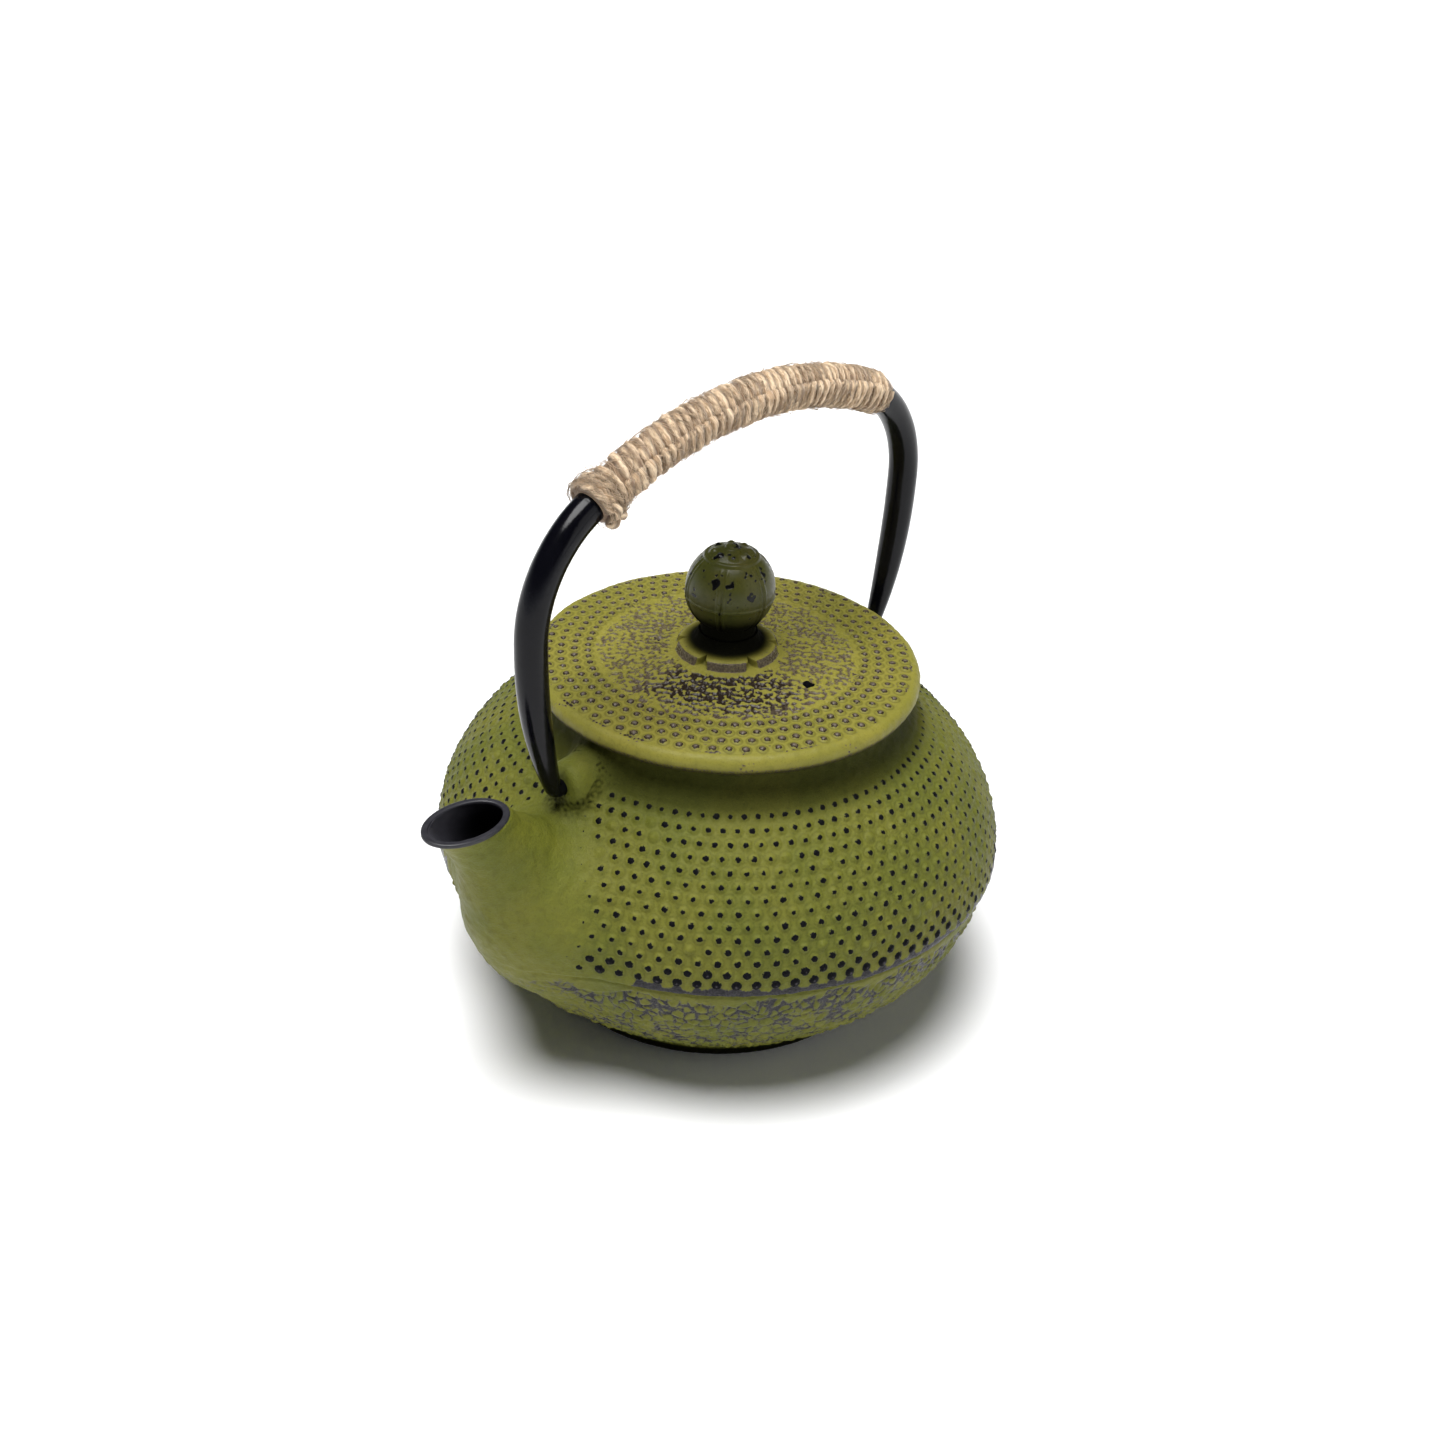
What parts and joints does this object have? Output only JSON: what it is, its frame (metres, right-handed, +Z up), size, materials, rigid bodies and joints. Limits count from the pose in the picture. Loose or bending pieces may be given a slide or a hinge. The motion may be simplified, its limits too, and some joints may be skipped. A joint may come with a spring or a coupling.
{
  "type": "cast iron teapot",
  "caption": "Squat hobnailed teapot with a short spout, a lift-off lid with a ball knob, a swinging bail with a wound grip and a hanging strainer.",
  "frame": {"origin": "centre of the foot ring, on the surface the pot stands on", "axes": "+Z up along the pot's axis, +X towards the spout; the upright bail lies in the XZ plane"},
  "size_m": [0.169, 0.1432, 0.1612],
  "materials": {
    "pot_iron": "matt olive green paint over dark iron, worn through on the nubs",
    "lid_iron": "matt yellow-green paint over dark iron, worn through on the nubs",
    "knob_iron": "satin dark green paint over dark iron",
    "seal": "pale silicone",
    "steel": "stainless steel sheet and screw",
    "black_lacquer": "satin black lacquer",
    "jute": "natural jute twine"
  },
  "bodies": {
    "pot": {"pot_body": "pot_iron"},
    "strainer": {"infuser_rim": "steel", "infuser_wall": "steel", "infuser_base": "steel"},
    "lid": {"lid": "lid_iron", "lid_knob": "knob_iron", "knob_washer": "seal", "knob_screw": "steel"},
    "bail": {"bail_handle": "black_lacquer", "jute_grip": "jute", "jute_knot": "jute"}
  },
  "joints": [
    {"name": "strainer_lift", "type": "slide", "parent": "pot", "child": "strainer", "axis": [0, 0, 1], "range_m": [0, 0.024]},
    {"name": "lid_lift", "type": "slide", "parent": "strainer", "child": "lid", "axis": [0, 0, 1], "range_m": [0, 0.024]},
    {"name": "bail_swing", "type": "hinge", "parent": "pot", "child": "bail", "pos_m": [0, 0, 0.0764], "axis": [1, 0, 0], "range_deg": [-106, 106]}
  ]
}
